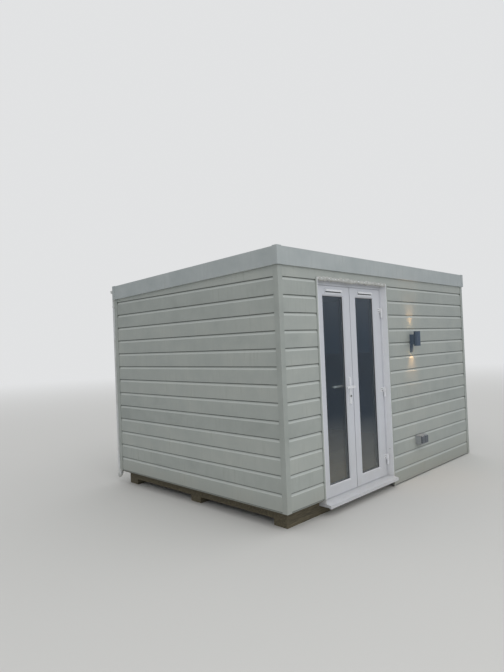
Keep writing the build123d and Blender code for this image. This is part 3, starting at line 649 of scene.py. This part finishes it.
# %% Foam bead
lining_low, lining_high = span("door_linings")
lining_thickness = 6 * MM
bead_below, bead_above, bead_proud, bead_deep = 34 * MM, 22 * MM, 13 * MM, 40 * MM
swell, voxel = 8 * MM, 7 * MM
bead_low, bead_high = lining_high.z - bead_below, lining_high.z + bead_above
bead_front, bead_back = front_face - bead_proud, front_face + bead_deep
bead = start_block("door_foam_bead",
                   (lining_low.x + lining_thickness, bead_front + swell, bead_low + swell),
                   (lining_high.x - lining_thickness, bead_back - swell, bead_high - swell))
shape_by(bead, "REMESH", mode="VOXEL", voxel_size=voxel)
for title, size, push in (("foam_lobes", 42 * MM, 34 * MM), ("foam_bubbles", 14 * MM, 6 * MM)):
    pattern = bpy.data.textures.new(title, "CLOUDS")
    pattern.noise_scale = size
    pattern.noise_depth = 1
    shape_by(bead, "DISPLACE", texture=pattern, strength=push, mid_level=0.5)
shape_by(bead, "SMOOTH", iterations=2)
bpy.ops.object.shade_smooth()

# The first and the seventh corner of the box that Blender keeps are its lowest and its highest
lowest, highest = Vector(bead.bound_box[0]), Vector(bead.bound_box[6])
wanted = Vector((lining_high.x - lining_low.x - lining_thickness, bead_back - bead_front,
                 bead_high - bead_low))
bpy.ops.object.mode_set(mode="EDIT")
bpy.ops.mesh.select_all(action="SELECT")
bpy.ops.transform.resize(value=[w / (high - low) for w, low, high in zip(wanted, lowest, highest)],
                         center_override=lowest)
place = Vector((lining_low.x + lining_thickness / 2, bead_front, bead_low))
bpy.ops.transform.translate(value=place - lowest)
finish_piece(bead, "pod", foam)

# %% [markdown]
# A sealed unit shows three things at its edge: a black rubber gasket on each side, and between the panes the
# spacer bar, a bright hollow aluminium section rolled from strip, whose fine lines run along it.

# %% Rubber and aluminium
gasket_rubber = mottled("extruded_epdm_gasket", 20, [(0.4, "#1E1F21"), (0.75, "#3A3B3C")],
                        {"IOR": 1.52, "Roughness": 0.6}, detail=4)
spacer_metal = mottled("roll_formed_aluminium_spacer", 1.5, [(0.4, "#C4C7CA"), (0.6, "#AEB2B6")],
                       {"Metallic": 1.0}, detail=2, squash=(1, 1, 0.02), gloss=(0.3, 0.45))
print("made", gasket_rubber.name, "and", spacer_metal.name)

# %% [markdown]
# Through the near pane the spacer reads as a light line down the far edge. All of these are rings, so one
# helper makes them from the glass node's own box, less the part of the glass that the frame covers.

# %% Gaskets and spacer bars
def upright_ring(name, low, high, width, softened):
    """A rectangular ring that stands in the XZ plane: a block, inset on both faces and bridged through."""
    piece = start_block(name, low, high)
    select_facing(piece, FRONT, REAR)
    bpy.ops.mesh.inset(thickness=width)
    bpy.ops.mesh.bridge_edge_loops()
    shape_by(piece, "BEVEL", width=softened, segments=2)
    return piece


covered, pane = 9 * MM, 4 * MM
gasket_width, gasket_depth, gasket_bite, gasket_soft = 4 * MM, 4 * MM, 0.6 * MM, 0.8 * MM
spacer_shows, spacer_gap, spacer_soft = 4 * MM, 0.2 * MM, 1 * MM
sight = Vector((covered - gasket_bite, 0, covered - gasket_bite))
for leaf in ("left_leaf", "right_leaf"):
    glass_low, glass_high = span(leaf + "_glass")
    for title, near, far in (("outer", glass_low.y - gasket_depth, glass_low.y),
                             ("inner", glass_high.y, glass_high.y + gasket_depth)):
        low, high = glass_low + sight, glass_high - sight
        low.y, high.y = near, far
        gasket = upright_ring(f"{leaf}_{title}_gasket", low, high, gasket_width, gasket_soft)
        finish_piece(gasket, leaf, gasket_rubber)
    low, high = glass_low.copy(), glass_high.copy()
    low.y, high.y = glass_low.y + pane + spacer_gap, glass_high.y - pane - spacer_gap
    spacer = upright_ring(f"{leaf}_spacer_bar", low, high, covered + spacer_shows, spacer_soft)
    finish_piece(spacer, leaf, spacer_metal)

# %% [markdown]
# Many small fittings were turned on a lathe or look as if they were: lock faces, pins, caps and screws. Each
# starts as a short cylinder whose outer face is inset and lifted or sunk in steps, so one helper makes them
# all. What repeats is made once and copied.

# %% Turned pieces
def turned(name, place, radius, rise, outward, steps, sides=20):
    """A small turned piece that stands on a face at its place. Outward is the way that the face looks."""
    turn = (math.pi / 2 * abs(outward.y), math.pi / 2 * abs(outward.x), 0)
    bpy.ops.object.select_all(action="DESELECT")
    bpy.ops.mesh.primitive_cylinder_add(vertices=sides, radius=radius, depth=rise,
                                        location=Vector(place) + outward * rise / 2, rotation=turn)
    piece = bpy.context.object
    piece.name = name
    bpy.ops.object.transform_apply(location=True, rotation=True, scale=True)
    step_in(piece, outward, steps)
    return piece


def repeat_at(piece, offsets):
    """Copy a piece by each offset, each copy with its own mesh, and join them all to the first."""
    copies = [piece]
    for offset in offsets:
        pick(piece)
        bpy.ops.object.duplicate()
        bpy.ops.transform.translate(value=offset)
        copies.append(bpy.context.object)
    pick(*copies)
    bpy.ops.object.join()


crease = math.radians(50)
print("turned edges stay sharp past", round(math.degrees(crease)), "degrees")

# %% [markdown]
# The lock cylinder is nickel plated brass, tarnished: a round face inside a raised rim, with a keyway down
# its middle. The keyway is the dark slot that is seen from some way off, so it is a piece of its own, a black
# block whose colour is painted shade for the inside of the slot.

# %% Lock cylinder
nickel = mottled("nickel_plated_brass", 6, [(0.4, "#8F897C"), (0.7, "#5E594F")], {"Metallic": 1.0},
                 detail=4, gloss=(0.2, 0.4))
# Painted shade: this black stands for the shade inside the keyway and inside the hinge adjusters' sockets
shadow_black = mottled("painted_shade_black", 8, [(0.4, "#16171A"), (0.7, "#26282B")], {"Roughness": 0.8})

plate_low, plate_high = span("handle_plates")
lever_low, lever_high = span("door_levers")
lock_below_handle = 92 * MM
lock_x = (plate_low.x + plate_high.x) / 2
lock_height = (lever_low.z + lever_high.z) / 2 - lock_below_handle
face_radius, face_depth = 10.5 * MM, 1.2 * MM
face_rim = [(0.8 * MM, 0.3 * MM), (0.5 * MM, -0.4 * MM)]
key_width, key_height, key_depth, key_soft = 4 * MM, 14 * MM, 0.6 * MM, 0.25 * MM
for title, plate_y, outward in (("outer", plate_low.y, FRONT), ("inner", plate_high.y, REAR)):
    face = turned(f"lock_cylinder_{title}_face", (lock_x, plate_y, lock_height), face_radius, face_depth,
                  outward, face_rim, sides=32)
    finish_piece(face, "left_leaf", nickel)
    key_face = plate_y + outward.y * face_depth
    keyway = start_block(
        f"lock_keyway_{title}",
        (lock_x - key_width / 2, key_face - key_depth, lock_height - key_height / 2),
        (lock_x + key_width / 2, key_face + key_depth / 2, lock_height + key_height / 2))
    shape_by(keyway, "BEVEL", width=key_soft, segments=2)
    finish_piece(keyway, "left_leaf", shadow_black)

# %% [markdown]
# The fascia boards are held by plastic headed pins, two rows of them at about 600 mm. A head is a shallow
# dome nine millimetres across. On the sides the rows follow the fall of the roof.

# %% Fascia pins
pin_radius, pin_rise, pin_edge, pin_pitch, from_end = 4.5 * MM, 1.6 * MM, 28 * MM, 600 * MM, 110 * MM
pin_dome = [(0.25 * pin_radius, pin_rise / 4), (0.3 * pin_radius, pin_rise / 4)]


def spread(low, high, pitch):
    """Even places between two ends, no further apart than the pitch."""
    gaps = math.ceil((high - low) / pitch)
    return [low + (high - low) * number / gaps for number in range(gaps + 1)]


def pin_rows(title, places, outward):
    """The pins of one side: the first is turned and the rest are its copies."""
    head = turned(f"{title}_fascia_pins", places[0], pin_radius, pin_rise / 2, outward, pin_dome, sides=12)
    repeat_at(head, [place - places[0] for place in places[1:]])
    bpy.ops.object.shade_smooth_by_angle(angle=crease)
    finish_piece(head, "pod", sage_fascias)


fascia_low, fascia_high = span("front_fascia")
side_low, side_high = span("side_fascias")
rear_low, rear_high = span("rear_fascia")
for title, low, high, y, outward in (("front", fascia_low, fascia_high, fascia_low.y, FRONT),
                                     ("rear", rear_low, rear_high, rear_high.y, REAR)):
    places = [Vector((x, y, z)) for x in spread(low.x + from_end, high.x - from_end, pin_pitch)
              for z in (low.z + pin_edge, high.z - pin_edge)]
    pin_rows(title, places, outward)
fall = fascia_low.z - side_low.z
for title, x, outward in (("left", side_low.x, LEFT), ("right", side_high.x, RIGHT)):
    places = []
    for y in spread(side_low.y + from_end, side_high.y - from_end, pin_pitch):
        drop = fall * (y - side_low.y) / (side_high.y - side_low.y)
        for z in (fascia_low.z + pin_edge - drop, fascia_high.z - pin_edge - drop):
            places.append(Vector((x, y, z)))
    pin_rows(title, places, outward)

# %% [markdown]
# Under each vent's hood lies the part that breathes: a grey insect mesh in a shallow tray. Its greys also
# paint the shade that the hood casts, so from outside it reads as one grey line under the hood. The tray is a
# thin block whose face is inset and pushed in. The weave is drawn at nine millimetres, far coarser than it
# is, because the real one is too fine to show.

# %% Vent meshes
vent_mesh_and_shade, tree, here = new_material("woven_polyester_mesh_and_painted_shade")
weave = add(tree, "TexWave", {"Scale": per_mm(9), "Detail": 1, "Distortion": 0.3, "Vector": here})
# Painted shade: these greys give both the mesh and the shade that the hood casts on it
colour = add(tree, "ValToRGB", {0: weave}, stops=[(0.3, "#55585B"), (0.8, "#8B8E91")])
surface(tree, {"Roughness": 0.8, "Base Color": colour})

mesh_inset, mesh_height, mesh_depth, mesh_bite = 8 * MM, 13 * MM, 3 * MM, 0.5 * MM
tray_rim, tray_slope, tray_sunk = 1.2 * MM, 0.3 * MM, 2 * MM
hood_height, hood_lap, vent_wall = 25 * MM, 4 * MM, 2.5 * MM
for leaf in ("left_leaf", "right_leaf"):
    vent_low, vent_high = span(leaf + "_vent")
    plate_y = vent_high.y - vent_wall
    under_hood = vent_high.z - hood_height + hood_lap
    tray = start_block(f"{leaf}_vent_mesh_and_shade",
                       (vent_low.x + mesh_inset, plate_y - mesh_depth, under_hood - mesh_height),
                       (vent_high.x - mesh_inset, plate_y + mesh_bite, under_hood))
    step_in(tray, FRONT, [(tray_rim, 0), (tray_slope, -tray_sunk)])
    finish_piece(tray, leaf, vent_mesh_and_shade)

# %% [markdown]
# Each hinge is closed above and below by a domed cap. The upper one turns with the leaf and the lower one
# stays on the frame, so they are separate pieces. All three hinges of a leaf are alike.

# %% Hinge caps
hinge_middles = (291 * MM, 998 * MM, 1834 * MM)
half_hinge, knuckle = 50 * MM, 11 * MM
cap_radius, cap_rise = 10.4 * MM, 2 * MM
cap_dome = [(2 * MM, 1.2 * MM), (3 * MM, 0.8 * MM)]
up_the_door = [Vector((0, 0, height - hinge_middles[0])) for height in hinge_middles[1:]]
hinge_axes = []
for side, away in (("left", 1), ("right", -1)):
    leaf = side + "_leaf"
    hinge_low, hinge_high = span(leaf + "_hinges")
    axis_x = (hinge_low.x if side == "left" else hinge_high.x) + away * knuckle
    axis_y = hinge_low.y + knuckle
    hinge_axes.append((side, leaf, away, axis_x))
    for title, body, end, outward in (("caps", leaf, half_hinge, UP), ("feet", "pod", -half_hinge, DOWN)):
        cap = turned(f"{side}_hinge_{title}", (axis_x, axis_y, hinge_middles[0] + end), cap_radius, cap_rise,
                     outward, cap_dome)
        repeat_at(cap, up_the_door)
        bpy.ops.object.shade_smooth_by_angle(angle=crease)
        finish_piece(cap, body, powder_coat)

# %% [markdown]
# The hinge plates are held by screws that have dulled, three to a leaf plate, each a shallow dome with its
# middle sunk. A larger socket on each plate takes the key that sets the door's height. It is black all over,
# painted shade for the hollow of the socket.

# %% Hinge screws
zinc_dull = mottled("zinc_plated_steel_dulled", 3, [(0.4, "#8C8D8B"), (0.7, "#63625E")],
                    {"Metallic": 0.8, "Roughness": 0.5})

plate_thickness = 4 * MM
plate_front = span("left_leaf_frame")[0].y - plate_thickness
screw_radius, screw_rise, screw_out, screw_up = 4.2 * MM, 1 * MM, 30 * MM, 36 * MM
screw_dish = [(1 * MM, 0.6 * MM), (1.2 * MM, -0.8 * MM)]
screw_across, screw_down = 15 * MM, -22 * MM
adjuster_radius, adjuster_rise = 6.5 * MM, 1 * MM
adjuster_dish = [(0.8 * MM, 0.3 * MM), (0.6 * MM, -1 * MM)]
for side, leaf, away, axis_x in hinge_axes:
    first = Vector((axis_x + away * screw_out, plate_front, hinge_middles[0] + screw_up))
    screw = turned(f"{side}_hinge_screws", first, screw_radius, screw_rise, FRONT, screw_dish)
    spots = [Vector((across, 0, up + height - hinge_middles[0])) for height in hinge_middles
             for across, up in ((0, 0), (away * screw_across, 0), (away * screw_across, screw_down))]
    repeat_at(screw, spots[1:])
    finish_piece(screw, leaf, zinc_dull)
    for title, body, across, up in (("leaf", leaf, 27 * MM, 13 * MM), ("frame", "pod", -18 * MM, -24 * MM)):
        adjuster = turned(f"{side}_{title}_hinge_adjusters",
                          (axis_x + away * across, plate_front, hinge_middles[0] + up),
                          adjuster_radius, adjuster_rise, FRONT, adjuster_dish)
        repeat_at(adjuster, up_the_door)
        finish_piece(adjuster, body, shadow_black)

# %% [markdown]
# With the doors open the working parts show. A black bubble seal runs up both jambs and across the head, on
# the stop that the leaves close against, and is drawn as it stands when they press on it.

# %% Door seals
jamb_face, stop_depth, seal_in, seal_width, seal_soft = 28 * MM, 15 * MM, 9 * MM, 7 * MM, 1.6 * MM
leaf_clear, head_clear = 0.4 * MM, 6 * MM
jamb_low, jamb_high = span("door_jambs")
leaf_low, leaf_high = span("left_leaf_frame")
seal_left, seal_right = jamb_low.x + jamb_face + seal_in, jamb_high.x - jamb_face - seal_in
seal_top = leaf_high.z + head_clear - seal_in
for title, low_x, high_x, low_z in (("left", seal_left, seal_left + seal_width, leaf_low.z),
                                    ("right", seal_right - seal_width, seal_right, leaf_low.z),
                                    ("head", seal_left, seal_right, seal_top - seal_width)):
    seal = start_block(f"{title}_door_seal", (low_x, leaf_high.y + leaf_clear, low_z),
                       (high_x, jamb_high.y - stop_depth, seal_top))
    shape_by(seal, "BEVEL", width=seal_soft, segments=3)
    finish_piece(seal, "pod", gasket_rubber)

# %% [markdown]
# The left leaf's edge carries the long strip of a multipoint lock with its latch and two hooks. A latch is a
# block whose outer face is drawn in towards one side, so that it rides over the keep. The right leaf carries
# the keeps that they enter, plates with a sunk middle, on an edge that the closed doors hide.

# %% Lock strip and keeps
edge_y = (leaf_low.y + leaf_high.y) / 2
strip_half, strip_rise, strip_bite, strip_soft = 10 * MM, 1.5 * MM, 0.5 * MM, 0.5 * MM
strip_foot, strip_head = 180 * MM, 120 * MM
strip = start_block("multipoint_lock_strip",
                    (leaf_high.x - strip_bite, edge_y - strip_half, leaf_low.z + strip_foot),
                    (leaf_high.x + strip_rise, edge_y + strip_half, leaf_high.z - strip_head))
shape_by(strip, "BEVEL", width=strip_soft, segments=2)
finish_piece(strip, "left_leaf", spacer_metal)

down_and_up = [Vector((0, 0, -600 * MM)), Vector((0, 0, 620 * MM))]
latch_reach, latch_half, latch_slant, latch_soft = 5 * MM, 7 * MM, 4 * MM, 0.8 * MM
latch_foot, latch_head, latch_taper = 105 * MM, 135 * MM, (1, 0.5, 0.85)
latch_tip = (leaf_high.x + latch_reach, edge_y + latch_slant, lock_height + (latch_foot + latch_head) / 2)
latch = start_block("lock_latch_and_hooks",
                    (leaf_high.x, edge_y - latch_half, lock_height + latch_foot),
                    (leaf_high.x + latch_reach, edge_y + latch_half, lock_height + latch_head))
select_facing(latch, RIGHT)
bpy.ops.transform.resize(value=latch_taper, center_override=latch_tip)
shape_by(latch, "BEVEL", width=latch_soft, segments=2)
repeat_at(latch, down_and_up)
finish_piece(latch, "left_leaf", spacer_metal)

keep_x = span("right_leaf_frame")[0].x
keep_proud, keep_bite, keep_rim, keep_slope, keep_sunk = 1 * MM, 0.5 * MM, 5 * MM, 0.3 * MM, 1 * MM
keep_foot, keep_head = 70 * MM, 170 * MM
keep = start_block("lock_keeps",
                   (keep_x - keep_proud, edge_y - strip_half, lock_height + keep_foot),
                   (keep_x + keep_bite, edge_y + strip_half, lock_height + keep_head))
step_in(keep, LEFT, [(keep_rim, 0), (keep_slope, -keep_sunk)])
repeat_at(keep, down_and_up)
finish_piece(keep, "right_leaf", spacer_metal)

# %% [markdown]
# A drip strip is glued across the head of the frame and covers half of the gap over the doors. It is a flat
# length of the same white PVC, its lower edge drawn out into a small lip. It ends just above the doors, so
# that they swing out under it.

# %% Drip strip
head_low, head_high = span("door_frame_head")
drip_thickness, drip_clear, drip_top, drip_lip, drip_soft = 3 * MM, 2.5 * MM, 22 * MM, 1.5 * MM, 0.8 * MM
drip = start_block("door_head_drip_strip",
                   (head_low.x, head_low.y - drip_thickness, leaf_high.z + drip_clear),
                   (head_high.x, head_low.y, leaf_high.z + drip_top))
select_facing(drip, DOWN)
bpy.ops.mesh.extrude_region_move(TRANSFORM_OT_translate={"value": (0, -drip_lip, 0)})
shape_by(drip, "BEVEL", width=drip_soft, segments=2)
finish_piece(drip, "pod", rigid_pvc)

# %% [markdown]
# The socket's two lids hang from a round bar along their top edge and are lifted by a small lip at the foot.
# The bar is a block with its edges rounded over, and the lip a block whose front face is drawn in to a wedge.

# %% Socket lids
lid_low, lid_high = span("socket_lids")
middle_x = (lid_low.x + lid_high.x) / 2
half_between = 3 * MM
bar_half, bar_back, bar_lap, bar_rise, bar_round = 27 * MM, 3 * MM, 2 * MM, 6 * MM, 3 * MM
lip_half, lip_reach, lip_bite, lip_foot, lip_top = 11 * MM, 4 * MM, 2 * MM, 1 * MM, 8 * MM
lip_soft, lip_taper = 0.8 * MM, (0.85, 1, 0.5)
for title, edge_x, aside in (("left", lid_low.x, -half_between), ("right", lid_high.x, half_between)):
    lid_x = (edge_x + middle_x + aside) / 2
    bar = start_block(f"socket_{title}_lid_bar",
                      (lid_x - bar_half, lid_low.y + bar_back, lid_high.z - bar_lap),
                      (lid_x + bar_half, lid_high.y, lid_high.z + bar_rise))
    shape_by(bar, "BEVEL", width=bar_round, segments=3)
    finish_piece(bar, "pod", socket_grey)
    lip = start_block(f"socket_{title}_lid_lip",
                      (lid_x - lip_half, lid_low.y - lip_reach, lid_low.z + lip_foot),
                      (lid_x + lip_half, lid_low.y + lip_bite, lid_low.z + lip_top))
    select_facing(lip, FRONT)
    bpy.ops.transform.resize(value=lip_taper,
                             center_override=(lid_x, lid_low.y - lip_reach, lid_low.z + lip_foot))
    shape_by(lip, "BEVEL", width=lip_soft, segments=2)
    finish_piece(lip, "pod", smoked)

# %% [markdown]
# Each lining is fixed by three screws with small domed caps, except that one cap a side, the lowest, has come
# off and shows the screw.

# %% Lining screws
reveal_y = front_face + 30 * MM
lining_heights = (395 * MM, 1120 * MM, 1850 * MM)
bare_radius, bare_rise = 4 * MM, 0.8 * MM
bare_dish = [(1 * MM, 0.5 * MM), (1 * MM, -0.7 * MM)]
cover_radius, cover_rise = 5.5 * MM, 1 * MM
cover_dome = [(1 * MM, 0.8 * MM), (2 * MM, 0.6 * MM)]
for title, wall_x, inward in (("left", lining_low.x + lining_thickness, RIGHT),
                              ("right", lining_high.x - lining_thickness, LEFT)):
    screw = turned(f"{title}_lining_screw", (wall_x, reveal_y, lining_heights[0]), bare_radius, bare_rise,
                   inward, bare_dish)
    finish_piece(screw, "pod", zinc_dull)
    cover = turned(f"{title}_lining_caps", (wall_x, reveal_y, lining_heights[1]), cover_radius, cover_rise,
                   inward, cover_dome)
    repeat_at(cover, [Vector((0, 0, lining_heights[2] - lining_heights[1]))])
    finish_piece(cover, "pod", newer_pvc)

# %% [markdown]
# The roof sheet is too wide for one roll, so two lapped seams run down the fall. Each is a strip of the same
# rubber, the tape's thickness proud, tipped to the fall of the roof by moving its rear end down.

# %% Roof seams
roof_low, roof_high = span("roof_panel")
roof_fall = 60 * MM
sheet_rise, sheet_bite, seam_rise, seam_width, seam_soft = 3 * MM, 1 * MM, 2.5 * MM, 60 * MM, 0.7 * MM
front_end, rear_end = roof_low.y + 4 * MM, roof_high.y - 1 * MM
for title, share in (("left", 1 / 3), ("right", 2 / 3)):
    seam_x = roof_low.x + (roof_high.x - roof_low.x) * share
    seam = start_block(f"{title}_roof_seam", (seam_x, front_end, roof_high.z + sheet_rise - sheet_bite),
                       (seam_x + seam_width, rear_end, roof_high.z + sheet_rise + seam_rise))
    select_facing(seam, REAR)
    bpy.ops.transform.translate(value=(0, 0, -roof_fall))
    shape_by(seam, "BEVEL", width=seam_soft, segments=2)
    finish_piece(seam, "pod", epdm_seam)
